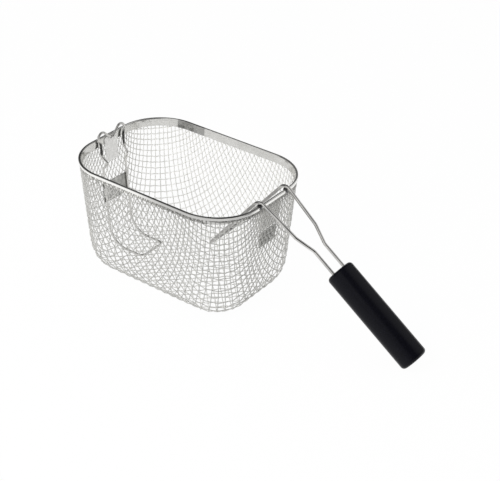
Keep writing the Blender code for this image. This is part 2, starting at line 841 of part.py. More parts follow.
def main():
    clear_scene()
    wire = make_material("drawn_wire", (0.72, 0.73, 0.74), 1.0, 0.28)
    sheet = make_material("rolled_sheet", (0.60, 0.61, 0.62), 1.0, 0.30)
    dark_sheet = make_material("plate_sheet", (0.30, 0.31, 0.32), 1.0, 0.40)
    rod = make_material("handle_rod", (0.66, 0.67, 0.68), 1.0, 0.22)
    clip = make_material("seat_sheet", (0.35, 0.35, 0.36), 1.0, 0.35)
    plastic = make_material("black_plastic", (0.015, 0.015, 0.016), 0.0, 0.25)

    make_cloth(wire)
    make_band(sheet)
    make_hook_wire(rod.copy())
    make_plate("hook_strap", -1, HOOK_STRAP_WIDTH, HOOK_STRAP_LOW, STRAP_HIGH,
               STRAP_OFFSET, sheet.copy())
    make_plate("hook_plate", -1, HOOK_PLATE_WIDTH, HOOK_PLATE_LOW, HOOK_PLATE_HIGH,
               PLATE_OFFSET, dark_sheet)
    make_plate("end_strap", 1, END_STRAP_WIDTH, END_STRAP_LOW, STRAP_HIGH,
               STRAP_OFFSET, sheet.copy())
    make_plate("end_plate", 1, END_PLATE_WIDTH, END_PLATE_LOW, END_PLATE_HIGH,
               PLATE_OFFSET, dark_sheet.copy())
    make_seat("rim_seat_left", -HANDLE_SPACING / 2, clip)
    make_seat("rim_seat_right", HANDLE_SPACING / 2, clip.copy())

    pivot = handle_frame()[3]
    hinge = bpy.data.objects.new("handle_hinge", None)
    hinge.location = pivot
    bpy.context.scene.collection.objects.link(hinge)
    make_handle_wire(rod, hinge)
    make_grip(plastic, hinge)


main()
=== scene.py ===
import math

import bmesh
import bpy
import numpy as np
from mathutils import Matrix, Vector


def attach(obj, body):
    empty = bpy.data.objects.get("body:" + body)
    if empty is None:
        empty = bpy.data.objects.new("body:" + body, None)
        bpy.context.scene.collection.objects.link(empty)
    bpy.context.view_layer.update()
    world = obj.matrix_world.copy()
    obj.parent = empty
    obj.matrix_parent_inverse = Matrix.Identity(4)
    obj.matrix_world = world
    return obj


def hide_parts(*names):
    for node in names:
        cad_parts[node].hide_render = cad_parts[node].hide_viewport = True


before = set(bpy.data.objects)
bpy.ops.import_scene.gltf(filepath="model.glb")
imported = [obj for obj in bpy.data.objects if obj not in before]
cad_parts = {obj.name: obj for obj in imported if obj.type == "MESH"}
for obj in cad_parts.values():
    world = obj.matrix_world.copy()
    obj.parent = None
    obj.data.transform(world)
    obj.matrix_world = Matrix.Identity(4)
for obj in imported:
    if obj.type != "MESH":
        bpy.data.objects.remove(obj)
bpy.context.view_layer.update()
print("stage: frame loaded")

# Sizes of the basket, the same as in the solids, in metres
basket = {
    "rimLength": 0.220,
    "rimWidth": 0.153,
    "rimCorner": 0.051,
    "rimHeight": 0.1275,
    "wallLean": 0.0106,
    "baseCornerLoss": 0.012,
    "baseCurveIn": 0.017,
    "baseCurveUp": 0.0295,
    "bandDepth": 0.009,
    "bandLip": 0.0036,
    "bandThickness": 0.0029,
    "fitGap": 0.0003,
}

# Where the surface of the cloth lies: the middle of the band, and above the table
clothInset = basket["bandThickness"] / 2
clothLift = 0.0008

# Keeps divisions away from zero
tiny = 1e-9

# Signs of X and Y, or of Y and Z, in the four quarters of a rounded outline
quarterSigns = ((1, 1), (-1, 1), (-1, -1), (1, -1))


# The form that the cloth follows: a tub with rounded corners and a curved base edge

def outlineSize(height, inset):
    fall = (basket["rimHeight"] - height) / basket["rimHeight"]
    halfX = basket["rimLength"] / 2 - inset - basket["wallLean"] * fall
    halfY = basket["rimWidth"] / 2 - inset - basket["wallLean"] * fall
    corner = basket["rimCorner"] - inset - basket["baseCornerLoss"] * fall
    return halfX, halfY, corner


def outlineDistance(x, y, halfX, halfY, corner):
    overX = np.abs(x) - (halfX - corner)
    overY = np.abs(y) - (halfY - corner)
    outside = np.hypot(np.maximum(overX, 0), np.maximum(overY, 0))
    return outside + np.minimum(np.maximum(overX, overY), 0) - corner


def formLevel(points):
    # Zero on the cloth, negative inside the basket
    height = points[..., 2]
    halfX, halfY, corner = outlineSize(height, clothInset)
    side = outlineDistance(points[..., 0], points[..., 1], halfX, halfY, corner)
    across = (side + basket["baseCurveIn"]) / basket["baseCurveIn"]
    down = (basket["baseCurveUp"] - (height - clothLift)) / basket["baseCurveUp"]
    curved = np.sqrt(across * across + down * down)
    plain = np.maximum(across, down)
    return np.where((across > 0) & (down > 0), curved, plain) - 1


def formSlope(points):
    reach = 0.00005
    slope = np.empty_like(points)
    for axis in range(3):
        shift = np.zeros(3)
        shift[axis] = reach
        slope[..., axis] = (formLevel(points + shift) - formLevel(points - shift)) / (2 * reach)
    return slope


def ontoForm(points, rounds):
    longest = 0.008
    for _ in range(rounds):
        slope = formSlope(points)
        square = np.maximum((slope * slope).sum(-1), tiny)
        move = (formLevel(points) / square)[..., None] * slope
        length = np.linalg.norm(move, axis=-1, keepdims=True)
        move *= np.minimum(1, longest / np.maximum(length, tiny))
        points = points - move
    return points


def formNormals(points):
    slope = formSlope(points)
    return slope / np.linalg.norm(slope, axis=-1, keepdims=True)


def wallPlace(end, offset, height, across):
    # A place measured inward from the cloth on the left (-1) or right (1) end wall
    halfX, _, _ = outlineSize(height, clothInset)
    return Vector((end * (halfX - offset), across, height))


# Materials: tones, roughness, fine relief and the size of each pattern

looks = {
    "cloth": {
        "dark": (0.89, 0.885, 0.85), "light": (0.98, 0.975, 0.945), "metal": 0.20,
        "roughLow": 0.18, "roughHigh": 0.36, "cloudScale": 60,
        "grainScale": 900, "grainStretch": (1, 1, 1), "relief": 0.05,
    },
    "band": {
        "dark": (0.88, 0.875, 0.85), "light": (0.97, 0.965, 0.94), "metal": 0.9,
        "roughLow": 0.08, "roughHigh": 0.20, "cloudScale": 45,
        "grainScale": 300, "grainStretch": (1, 1, 12), "relief": 0.05,
    },
    "rod": {
        "dark": (0.48, 0.475, 0.465), "light": (0.66, 0.65, 0.63), "metal": 1.0,
        "roughLow": 0.06, "roughHigh": 0.16, "cloudScale": 60,
        "grainScale": 500, "grainStretch": (1, 1, 1), "relief": 0.04,
    },
    "hook": {
        "dark": (0.58, 0.575, 0.56), "light": (0.76, 0.75, 0.73), "metal": 0.9,
        "roughLow": 0.18, "roughHigh": 0.34, "cloudScale": 80,
        "grainScale": 500, "grainStretch": (1, 1, 1), "relief": 0.05,
    },
    "plate": {
        "dark": (0.30, 0.30, 0.29), "light": (0.52, 0.52, 0.50), "metal": 0.85,
        "roughLow": 0.25, "roughHigh": 0.45, "cloudScale": 240,
        "grainScale": 350, "grainStretch": (1, 8, 1), "relief": 0.06,
    },
    "strap": {
        "dark": (0.86, 0.855, 0.84), "light": (0.97, 0.965, 0.95), "metal": 0.2,
        "roughLow": 0.22, "roughHigh": 0.38, "cloudScale": 300,
        "grainScale": 350, "grainStretch": (1, 8, 1), "relief": 0.06,
    },
    # The seats' near-black tone is painted shade and dark reflection under the handle wire
    "seat": {
        "dark": (0.08, 0.08, 0.082), "light": (0.15, 0.15, 0.152), "metal": 0.9,
        "roughLow": 0.30, "roughHigh": 0.50, "cloudScale": 90,
        "grainScale": 500, "grainStretch": (1, 1, 1), "relief": 0.06,
    },
}

# What all the steel looks share: noise detail, where the tones part, height of the relief
finish = {
    "cloudDetail": 4,
    "grainDetail": 6,
    "darkAt": 0.35,
    "lightAt": 0.65,
    "reliefHeight": 0.0002,
}


def newMaterial(name):
    material = bpy.data.materials.new(name)
    material.use_nodes = True
    tree = material.node_tree
    return material, tree, tree.nodes["Principled BSDF"]


def feed(tree, value, socket):
    # Links the output of another node, or sets a plain value
    if isinstance(value, bpy.types.NodeSocket):
        tree.links.new(value, socket)
    else:
        socket.default_value = value


def noiseNode(tree, scale, detail, stretch=(1, 1, 1)):
    coord = tree.nodes.new("ShaderNodeTexCoord")
    mapping = tree.nodes.new("ShaderNodeMapping")
    mapping.inputs["Scale"].default_value = stretch
    noise = tree.nodes.new("ShaderNodeTexNoise")
    noise.inputs["Scale"].default_value = scale
    noise.inputs["Detail"].default_value = detail
    tree.links.new(coord.outputs["Object"], mapping.inputs["Vector"])
    tree.links.new(mapping.outputs["Vector"], noise.inputs["Vector"])
    return noise.outputs["Fac"]


def rampNode(tree, source, stops):
    ramp = tree.nodes.new("ShaderNodeValToRGB")
    while len(ramp.color_ramp.elements) < len(stops):
        ramp.color_ramp.elements.new(0.5)
    for element, (position, colour) in zip(ramp.color_ramp.elements, stops):
        element.position = position
        element.color = (*colour, 1.0)
    tree.links.new(source, ramp.inputs["Fac"])
    return ramp.outputs["Color"]


def mathNode(tree, operation, *values):
    node = tree.nodes.new("ShaderNodeMath")
    node.operation = operation
    for value, socket in zip(values, node.inputs):
        feed(tree, value, socket)
    return node.outputs["Value"]


def rangeNode(tree, source, low, high):
    # Zero at the low value and one at the high one, which may be the smaller of the two
    node = tree.nodes.new("ShaderNodeMapRange")
    node.inputs["From Min"].default_value = low
    node.inputs["From Max"].default_value = high
    tree.links.new(source, node.inputs["Value"])
    return node.outputs["Result"]


def colourMix(tree, blend, amount, first, second):
    # The sockets for colours share their names with others, so they go by number
    mix = tree.nodes.new("ShaderNodeMix")
    mix.data_type = "RGBA"
    mix.blend_type = blend
    for value, index in ((amount, 0), (first, 6), (second, 7)):
        feed(tree, value, mix.inputs[index])
    return mix.outputs[2]


def objectAxes(tree):
    coord = tree.nodes.new("ShaderNodeTexCoord")
    split = tree.nodes.new("ShaderNodeSeparateXYZ")
    tree.links.new(coord.outputs["Object"], split.inputs["Vector"])
    return split.outputs


def darkenWhere(tree, mask, share):
    # Multiplies the tone by the share where the mask is one
    colour = tree.nodes["Principled BSDF"].inputs["Base Color"]
    tone = colour.links[0].from_socket
    darker = colourMix(tree, "MULTIPLY", mask, tone, (share, share, share, 1))
    tree.links.new(darker, colour)


def roughen(tree, shader, source, look):
    # Roughness between the look's two values
    rough = tree.nodes.new("ShaderNodeMapRange")
    rough.inputs["To Min"].default_value = look["roughLow"]
    rough.inputs["To Max"].default_value = look["roughHigh"]
    tree.links.new(source, rough.inputs["Value"])
    tree.links.new(rough.outputs["Result"], shader.inputs["Roughness"])


def addRelief(tree, shader, source, look):
    relief = tree.nodes.new("ShaderNodeBump")
    relief.inputs["Strength"].default_value = look["relief"]
    relief.inputs["Distance"].default_value = finish["reliefHeight"]
    tree.links.new(source, relief.inputs["Height"])
    tree.links.new(relief.outputs["Normal"], shader.inputs["Normal"])


def steelMaterial(name, look):
    # Broad clouds set the tone, and fine streaks the roughness and the relief
    material, tree, shader = newMaterial(name)
    shader.inputs["Metallic"].default_value = look["metal"]
    clouds = noiseNode(tree, look["cloudScale"], finish["cloudDetail"])
    stops = ((finish["darkAt"], look["dark"]), (finish["lightAt"], look["light"]))
    tree.links.new(rampNode(tree, clouds, stops), shader.inputs["Base Color"])
    streaks = noiseNode(tree, look["grainScale"], finish["grainDetail"], look["grainStretch"])
    roughen(tree, shader, streaks, look)
    addRelief(tree, shader, streaks, look)
    return material


steel = {name: steelMaterial(name + "Steel", look) for name, look in looks.items()}


# Making objects

def addObject(name, data):
    item = bpy.data.objects.new(name, data)
    bpy.context.scene.collection.objects.link(item)
    return item


def shapedMesh(item):
    # The mesh with the modifiers of the object worked in
    bpy.context.view_layer.update()
    seen = item.evaluated_get(bpy.context.evaluated_depsgraph_get())
    return bpy.data.meshes.new_from_object(seen)


def wireTree(material):
    # Geometry Nodes that draw a round wire along each run of edges
    tree = bpy.data.node_groups.new("drawWire", "GeometryNodeTree")
    face = tree.interface
    face.new_socket("Geometry", in_out="INPUT", socket_type="NodeSocketGeometry")
    radius = face.new_socket("Wire Radius", in_out="INPUT", socket_type="NodeSocketFloat")
    sides = face.new_socket("Wire Sides", in_out="INPUT", socket_type="NodeSocketInt")
    face.new_socket("Geometry", in_out="OUTPUT", socket_type="NodeSocketGeometry")
    entry = tree.nodes.new("NodeGroupInput")
    leave = tree.nodes.new("NodeGroupOutput")
    toCurve = tree.nodes.new("GeometryNodeMeshToCurve")
    circle = tree.nodes.new("GeometryNodeCurvePrimitiveCircle")
    toMesh = tree.nodes.new("GeometryNodeCurveToMesh")
    toMesh.inputs["Fill Caps"].default_value = True
    smooth = tree.nodes.new("GeometryNodeSetShadeSmooth")
    realize = tree.nodes.new("GeometryNodeRealizeInstances")
    paint = tree.nodes.new("GeometryNodeSetMaterial")
    paint.inputs["Material"].default_value = material
    link = tree.links.new
    link(entry.outputs["Geometry"], toCurve.inputs["Mesh"])
    link(entry.outputs["Wire Radius"], circle.inputs["Radius"])
    link(entry.outputs["Wire Sides"], circle.inputs["Resolution"])
    link(toCurve.outputs["Curve"], toMesh.inputs["Curve"])
    link(circle.outputs["Curve"], toMesh.inputs["Profile Curve"])
    link(toMesh.outputs["Mesh"], smooth.inputs["Geometry"])
    link(smooth.outputs["Geometry"], realize.inputs["Geometry"])
    link(realize.outputs["Geometry"], paint.inputs["Geometry"])
    link(paint.outputs["Geometry"], leave.inputs["Geometry"])
    return tree, radius.identifier, sides.identifier


def wireObject(name, runs, radius, sides, material):
    vertices = []
    edges = []
    for run in runs:
        start = len(vertices)
        vertices.extend(tuple(point) for point in run)
        edges.extend((start + k, start + k + 1) for k in range(len(run) - 1))
    mesh = bpy.data.meshes.new(name + "Path")
    mesh.from_pydata(vertices, edges, [])
    path = addObject(name + "Path", mesh)
    tree, radiusSocket, sidesSocket = wireTree(material)
    draw = path.modifiers.new("draw", "NODES")
    draw.node_group = tree
    draw[radiusSocket] = radius
    draw[sidesSocket] = sides
    result = shapedMesh(path)
    result.name = name
    bpy.data.objects.remove(path, do_unlink=True)
    return addObject(name, result)


def meshObject(name, work, material, smooth=True):
    bmesh.ops.recalc_face_normals(work, faces=work.faces)
    mesh = bpy.data.meshes.new(name)
    work.to_mesh(mesh)
    work.free()
    for face in mesh.polygons:
        face.use_smooth = smooth
    mesh.materials.append(material)
    return addObject(name, mesh)


def bridge(work, first, second):
    # Faces between two closed rings of vertices
    count = len(first)
    for k in range(count):
        other = (k + 1) % count
        work.faces.new((first[k], first[other], second[other], second[k]))


def place(item, body, slotName, *nodes):
    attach(item, body)
    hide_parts(*nodes)


def roundedPath(corners, radii, arcStep):
    straight = 1e-4
    places = [Vector(corners[0])]
    for index in range(1, len(corners) - 1):
        before = Vector(corners[index - 1])
        corner = Vector(corners[index])
        after = Vector(corners[index + 1])
        back = (before - corner).normalized()
        ahead = (after - corner).normalized()
        turn = math.pi - back.angle(ahead)
        radius = radii[index]
        if turn < straight or radius <= 0:
            places.append(corner)
            continue
        centre = corner + (back + ahead).normalized() * (radius / math.cos(turn / 2))
        start = corner + back * (radius * math.tan(turn / 2))
        spin = (start - centre).normalized()
        axis = (-back).cross(ahead).normalized()
        side = axis.cross(spin)
        steps = max(2, math.ceil(turn / arcStep))
        for step in range(steps + 1):
            angle = turn * step / steps
            places.append(centre + (spin * math.cos(angle) + side * math.sin(angle)) * radius)
    places.append(Vector(corners[-1]))
    return places


def mirroredPath(half, arcStep):
    # One wire from an end on the -Y side, through the far bend, to its twin on the +Y side
    corners = []
    radii = []
    for sign, order in ((-1, half), (1, half[::-1])):
        corners.extend(Vector((point.x, sign * point.y, point.z)) for point, _ in order)
        radii.extend(bend for _, bend in order)
    return roundedPath(corners, radii, arcStep)


# Masks from the side of the sheet that a face is on

def markOutside(item):
    # One where the mesh faces out of the basket, zero where it faces in
    steepness = 2
    mesh = item.data
    count = len(mesh.vertices)
    points = np.empty(count * 3)
    facing = np.empty(count * 3)
    mesh.vertices.foreach_get("co", points)
    mesh.vertex_normals.foreach_get("vector", facing)
    out = formNormals(points.reshape(-1, 3))
    share = (facing.reshape(-1, 3) * out).sum(-1)
    outward = mesh.attributes.new("outward", "FLOAT", "POINT")
    outward.data.foreach_set("value", np.clip(0.5 + steepness * share, 0, 1))


def outwardMask(tree):
    outward = tree.nodes.new("ShaderNodeAttribute")
    outward.attribute_name = "outward"
    return outward.outputs["Fac"]


# Wire cloth: a woven net on the bias, relaxed over the form and then crimped

cloth = {
    "pitch": 0.0070,
    "wireRadius": 0.00053,
    "wireSides": 6,
    "crimpShare": 1.02,
    "crimpSteps": 4,
    "netReach": 0.30,
    "netTop": 0.163,
    "hemTop": 0.1245,
    "rounds": 500,
    "quickRounds": 60,
    "settleRounds": 3,
    "diagonalHold": 0.1,
    "bendHold": 0.6,
    "slackHold": 0.3,
    "relaxStep": 1.3,
    # Painted shade on the outer side of the wires, and a painted shadow in a strip right below
    # the band
    "outerShade": 0.50,
    "hemShadowDepth": 0.008,
    "hemShadow": 0.45,
}


def laidNet(pitch, halfCount):
    # A flat square net on the bias, first folded up over the form like a sheet
    span = np.arange(-halfCount, halfCount + 1)
    row, column = np.meshgrid(span, span, indexing="ij")
    flatX = (row + column) * pitch / math.sqrt(2)
    flatY = (row - column) * pitch / math.sqrt(2)
    halfX, halfY, corner = outlineSize(clothLift, clothInset)
    overX = np.maximum(np.abs(flatX) - (halfX - corner), 0)
    overY = np.maximum(np.abs(flatY) - (halfY - corner), 0)
    over = np.hypot(overX, overY)
    curveIn = basket["baseCurveIn"]
    curveUp = basket["baseCurveUp"]
    level = corner - curveIn
    curve = math.pi / 2 * math.sqrt((curveIn**2 + curveUp**2) / 2)
    turn = np.clip((over - level) / curve, 0, 1) * math.pi / 2
    wall = np.maximum(over - level - curve, 0)
    slope = basket["wallLean"] / basket["rimHeight"]
    radius = np.minimum(over, level) + curveIn * np.sin(turn) + wall * slope
    share = radius / np.maximum(over, tiny)
    x = np.sign(flatX) * (np.minimum(np.abs(flatX), halfX - corner) + overX * share)
    y = np.sign(flatY) * (np.minimum(np.abs(flatY), halfY - corner) + overY * share)
    height = curveUp * (1 - np.cos(turn)) + wall
    return ontoForm(np.stack([x, y, height + clothLift], -1), cloth["settleRounds"])


def linkSlices(size, down, along):
    # Both ends of every link that goes so many knots down and along the net
    if along >= 0:
        return (
            (slice(0, size - down), slice(0, size - along)),
            (slice(down, None), slice(along, None)),
        )
    return (
        (slice(0, size - down), slice(-along, None)),
        (slice(down, None), slice(0, size + along)),
    )


def relaxedNet(pitch, halfCount):
    # Links pull to their length and wires to a smooth run, while the net stays on the form
    points = laidNet(pitch, halfCount)
    live = points[..., 2] < cloth["netTop"]
    size = points.shape[0]
    diagonal = pitch * math.sqrt(2)
    links = (
        (1, 0, pitch, 1.0),
        (0, 1, pitch, 1.0),
        (1, 1, diagonal, cloth["diagonalHold"]),
        (1, -1, diagonal, cloth["diagonalHold"]),
    )
    rounds = cloth["rounds"]
    for _ in range(rounds):
        move = np.zeros_like(points)
        weight = np.zeros(points.shape[:2])
        for down, along, rest, hold in links:
            first, second = linkSlices(size, down, along)
            span = points[second] - points[first]
            length = np.maximum(np.linalg.norm(span, axis=-1), tiny)
            pull = (live[first] & live[second]) * hold
            pull = pull * np.where(length < rest, cloth["slackHold"], 1.0)
            push = (pull * (length - rest) / length / 2)[..., None] * span
            move[first] += push
            move[second] -= push
            weight[first] += pull
            weight[second] += pull
        for axis in range(2):
            before, middle, after = (
                tuple(slice(*ends) if k == axis else slice(None) for k in range(2))
                for ends in ((0, -2), (1, -1), (2, None))
            )
            pull = (live[before] & live[after] & live[middle]) * cloth["bendHold"]
            target = (points[before] + points[after]) / 2
            move[middle] += pull[..., None] * (target - points[middle])
            weight[middle] += pull
        points = points + move / np.maximum(weight, tiny)[..., None] * cloth["relaxStep"]
        points = ontoForm(points, 1)
    return ontoForm(points, cloth["settleRounds"])


def wireRuns(points, normals, crimp):
    # Each wire of one family, waved over and under the others, up into the band
    top = cloth["hemTop"]
    steps = cloth["crimpSteps"]
    runs = []
    for index in range(points.shape[0]):
        line = points[index]
        run = []
        for k in range(line.shape[0] - 1):
            side = 1 if (index + k) % 2 == 0 else -1
            for step in range(steps):
                share = step / steps
                point = line[k] + (line[k + 1] - line[k]) * share
                if point[2] >= top:
                    if len(run) > steps:
                        runs.append(run)
                    run = []
                    continue
                normal = normals[index, k] * (1 - share) + normals[index, k + 1] * share
                run.append(point + normal * (crimp * side * math.cos(math.pi * share)))
        if len(run) > steps:
            runs.append(run)
    return runs


def shadeCloth(tree):
    # Painted shade: darker on the outer side of each wire, and a painted shadow right below the
    # band's outer leaf
    darkenWhere(tree, outwardMask(tree), cloth["outerShade"])
    top = basket["rimHeight"] - basket["bandLip"]
    # Painted shadow of the band's outer leaf on the cloth's outer side
    rise = rangeNode(tree, objectAxes(tree)["Z"], top - cloth["hemShadowDepth"], top)
    darkenWhere(tree, mathNode(tree, "MULTIPLY", rise, outwardMask(tree)), cloth["hemShadow"])


def makeCloth():
    shadeCloth(steel["cloth"].node_tree)
    halfCount = math.ceil(cloth["netReach"] / cloth["pitch"])
    points = relaxedNet(cloth["pitch"], halfCount)
    normals = formNormals(points)
    crimp = cloth["wireRadius"] * cloth["crimpShare"]
    warp = wireRuns(points, normals, crimp)
    weft = wireRuns(points.transpose(1, 0, 2), normals.transpose(1, 0, 2), -crimp)
    for name, runs in (("clothWarp", warp), ("clothWeft", weft)):
        item = wireObject(name, runs, cloth["wireRadius"], cloth["wireSides"], steel["cloth"])
        markOutside(item)
        place(item, "basket", "cloth", "wire_cloth")


makeCloth()
print("stage: cloth woven")


# Rim band: a folded strip with a lap on the far long side

band = {
    "sheet": 0.0005,
    "round": 0.0012,
    "roundSteps": 6,
    "footLip": 0.00015,
    "cornerSteps": 40,
    "sharpFrom": math.radians(40),
    "lapStart": -0.072,
    "lapEnd": -0.036,
    "lapStep": 0.0002,
    "lapRamp": 0.0003,
    "lapFromStep": 3,
    "lapTone": 0.56,
    # Painted dark reflection on the crest and towards the near right corner, painted shade on
    # the inner faces
    "crestDepth": 0.0009,
    "crestShade": 0.36,
    "crestFade": 0.03,
    "innerShade": 0.76,
    "cornerAlong": (-0.005, 0.03),
    "cornerAcross": (-0.026, -0.036),
    "cornerShade": 0.60,
}


def darkenLap(tree):
    # The lapped length of the strip is duller than the rest
    axes = objectAxes(tree)
    middle = (band["lapStart"] + band["lapEnd"]) / 2
    reach = (band["lapEnd"] - band["lapStart"]) / 2
    within = mathNode(tree, "COMPARE", axes["X"], middle, reach)
    farSide = mathNode(tree, "GREATER_THAN", axes["Y"], 0)
    darkenWhere(tree, mathNode(tree, "MULTIPLY", within, farSide), band["lapTone"])


def shadeCrest(tree):
    # Painted dark reflection: the very top of the band is darkened along the near side and
    # fades to the far one
    axes = objectAxes(tree)
    start = basket["rimHeight"] - band["crestDepth"]
    rise = rangeNode(tree, axes["Z"], start, start + band["crestDepth"] / 2)
    near = rangeNode(tree, axes["Y"], band["crestFade"], -band["crestFade"])
    darkenWhere(tree, mathNode(tree, "MULTIPLY", rise, near), band["crestShade"])


def shadeCorner(tree):
    # Painted dark reflection: the band is darker from the middle of the near side to its right
    # corner
    axes = objectAxes(tree)
    along = rangeNode(tree, axes["X"], *band["cornerAlong"])
    across = rangeNode(tree, axes["Y"], *band["cornerAcross"])
    darkenWhere(tree, mathNode(tree, "MULTIPLY", along, across), band["cornerShade"])


def shadeInside(tree):
    # Painted shade: its faces that look into the basket are darker than the outer ones
    inward = mathNode(tree, "LESS_THAN", outwardMask(tree), 0.5)
    darkenWhere(tree, inward, band["innerShade"])


def rimStations():
    # Signs, angle, fixed X and lap of each cross section round the rim
    corner = basket["rimCorner"]
    steps = band["cornerSteps"]
    stations = []
    for quarter, (signX, signY) in enumerate(quarterSigns):
        for step in range(steps + 1):
            angle = (quarter + step / steps) * math.pi / 2
            x = (corner - basket["rimLength"] / 2) + corner * math.cos(angle)
            lap = 1 if quarter == 1 and x > band["lapStart"] else 0
            stations.append((signX, signY, angle, None, lap))
        if quarter == 0:
            stations.append((1, 1, math.pi / 2, band["lapEnd"] + band["lapRamp"], 0))
            stations.append((1, 1, math.pi / 2, band["lapEnd"], 1))
    return stations


def rimRing(work, stations, inset, height, lapInset):
    ring = []
    for signX, signY, angle, fixedX, lap in stations:
        halfX, halfY, corner = outlineSize(height, inset + lap * lapInset)
        x = signX * (halfX - corner) + corner * math.cos(angle)
        y = signY * (halfY - corner) + corner * math.sin(angle)
        if fixedX is not None:
            x = fixedX
        ring.append(work.verts.new((x, y, height)))
    return ring


def bandProfile():
    # Inset, height and lap of each corner of the cross section, from the outer lip inward
    top = basket["rimHeight"]
    low = top - basket["bandDepth"]
    lip = top - basket["bandLip"]
    full = basket["bandThickness"]
    sheet = band["sheet"]
    turn = band["round"]
    foot = band["footLip"]
    lap = band["lapStep"]
    angles = [step / band["roundSteps"] * math.pi / 2 for step in range(band["roundSteps"] + 1)]
    profile = [(foot, lip, 0.0), (0.0, lip + 2 * foot, 0.0)]
    for angle in angles:
        profile.append((turn * (1 - math.cos(angle)), top - turn * (1 - math.sin(angle)), 0.0))
    for step, angle in enumerate(angles):
        inset = full - turn * (1 - math.sin(angle))
        height = top - turn * (1 - math.cos(angle))
        profile.append((inset, height, lap if step >= band["lapFromStep"] else 0.0))
    profile.append((full, low + 2 * foot, lap))
    profile.append((full - foot, low, lap))
    profile.append((full - sheet, low, 0.0))
    profile.append((full - sheet, top - sheet * 2, 0.0))
    profile.append((sheet, top - sheet * 2, 0.0))
    profile.append((sheet, lip, 0.0))
    return profile


def makeBand():
    for tone in (darkenLap, shadeCrest, shadeCorner, shadeInside):
        tone(steel["band"].node_tree)
    work = bmesh.new()
    stations = rimStations()
    rings = [rimRing(work, stations, *corner) for corner in bandProfile()]
    for index, ring in enumerate(rings):
        bridge(work, ring, rings[(index + 1) % len(rings)])
    item = meshObject("rimBand", work, steel["band"])
    item.data.set_sharp_from_angle(angle=band["sharpFrom"])
    markOutside(item)
    place(item, "basket", "band", "rim_band")


makeBand()
print("stage: rim band made")


# Hook frame on the left end wall

hook = {
    "wire": 0.0026,
    "wireSides": 20,
    "arcStep": math.radians(6),
    "spacing": 0.035,
    "offset": 0.0037,
    "archOffset": 0.00415,
    "footEnd": -0.050,
    "footBend": 0.024,
    "kinkHeight": 0.101,
    "kinkDepth": 0.0065,
    "kinkSide": 0.002,
    "kinkHalf": 0.007,
    "neckHeight": 0.1215,
    "shoulderOut": 0.0035,
    "shoulderHeight": 0.1305,
    "topSpacing": 0.029,
    "topHeight": 0.1368,
    "valleyHeight": 0.1248,
    "endSpacing": 0.0026,
    "bend": 0.003,
    "floorGap": 0.0019,
    # Painted shade and dark reflection on the legs just below the band
    "shadeLow": 0.110,
    "shadeHigh": 0.1255,
    "shadeFade": 0.003,
    "shadeTone": 0.10,
}


def shadeNeck(tree):
    # Painted shade and dark reflection: both legs of the wire are darkened just below the band
    height = objectAxes(tree)["Z"]
    half = hook["shadeFade"] / 2
    above, past = (
        rangeNode(tree, height, level - half, level + half)
        for level in (hook["shadeLow"], hook["shadeHigh"])
    )
    darkenWhere(tree, mathNode(tree, "SUBTRACT", above, past), hook["shadeTone"])


def makeHookWire():
    shadeNeck(steel["hook"].node_tree)
    radius = hook["wire"] / 2
    floor = hook["floorGap"] + radius
    arch = hook["archOffset"]
    offset = hook["offset"]
    kink = hook["kinkHeight"]
    half = hook["kinkHalf"]
    leg = hook["spacing"] / 2
    bend = hook["bend"]
    line = (
        (wallPlace(-1, arch, hook["valleyHeight"], hook["endSpacing"] / 2), 0),
        (wallPlace(-1, arch, hook["topHeight"], hook["topSpacing"] / 2), 2 * bend),
        (wallPlace(-1, arch, hook["shoulderHeight"], leg + hook["shoulderOut"]), bend),
        (wallPlace(-1, arch, hook["neckHeight"], leg), bend),
        (wallPlace(-1, offset, kink + half, leg), bend),
        (wallPlace(-1, offset + hook["kinkDepth"], kink, leg - hook["kinkSide"]), bend),
        (wallPlace(-1, offset, kink - half, leg), bend),
        (wallPlace(-1, offset, floor, leg), hook["footBend"]),
        (Vector((hook["footEnd"], leg, floor)), 2 * bend),
    )
    run = mirroredPath(line, hook["arcStep"])
    item = wireObject("hookWire", [run], radius, hook["wireSides"], steel["hook"])
    place(item, "basket", "rod", "hook_wire")


# Plates and straps: the left end is -1, offsets are from the cloth, welds come in pairs

plates = {
    "sheet": 0.0008,
    "corner": 0.003,
    "cornerSteps": 8,
    "edge": 0.00015,
    "edgeSegments": 2,
    "sharpFrom": math.radians(50),
    "weldRadius": 0.0016,
    "weldRise": 0.00018,
    "weldSegments": 24,
    "hookStrap": {
        "end": -1, "width": 0.019, "low": 0.098, "high": 0.126,
        "offset": 0.00175, "weldAcross": 0.005, "weldHeight": 0.1115,
    },
    "hookPlate": {
        "end": -1, "width": 0.039, "low": 0.052, "high": 0.075,
        "offset": 0.0013, "weldAcross": 0.008, "weldHeight": 0.0635,
    },
    "endStrap": {
        "end": 1, "width": 0.034, "low": 0.0918, "high": 0.126,
        "offset": 0.00175, "weldAcross": 0.012, "weldHeight": 0.122,
    },
    "endPlate": {
        "end": 1, "width": 0.028, "low": 0.072, "high": 0.0905,
        "offset": 0.0013, "weldAcross": 0.009, "weldHeight": 0.0813,
    },
}


def addWeld(work, centre):
    # A shallow domed spot on the inner face of a plate
    segments = plates["weldSegments"]
    made = bmesh.ops.create_uvsphere(
        work, u_segments=segments, v_segments=segments // 2, radius=1.0
    )
    size = Vector((plates["weldRise"], plates["weldRadius"], plates["weldRadius"]))
    for vertex in made["verts"]:
        vertex.co = centre + vertex.co * size


def plateOutline(width, low, high):
    corner = plates["corner"]
    steps = plates["cornerSteps"]
    outline = []
    for quarter, (signY, signZ) in enumerate(quarterSigns):
        for step in range(steps + 1):
            angle = (quarter + step / steps) * math.pi / 2
            across = signY * (width / 2 - corner) + corner * math.cos(angle)
            middle = (low + high) / 2 + signZ * ((high - low) / 2 - corner)
            outline.append((across, middle + corner * math.sin(angle)))
    return outline


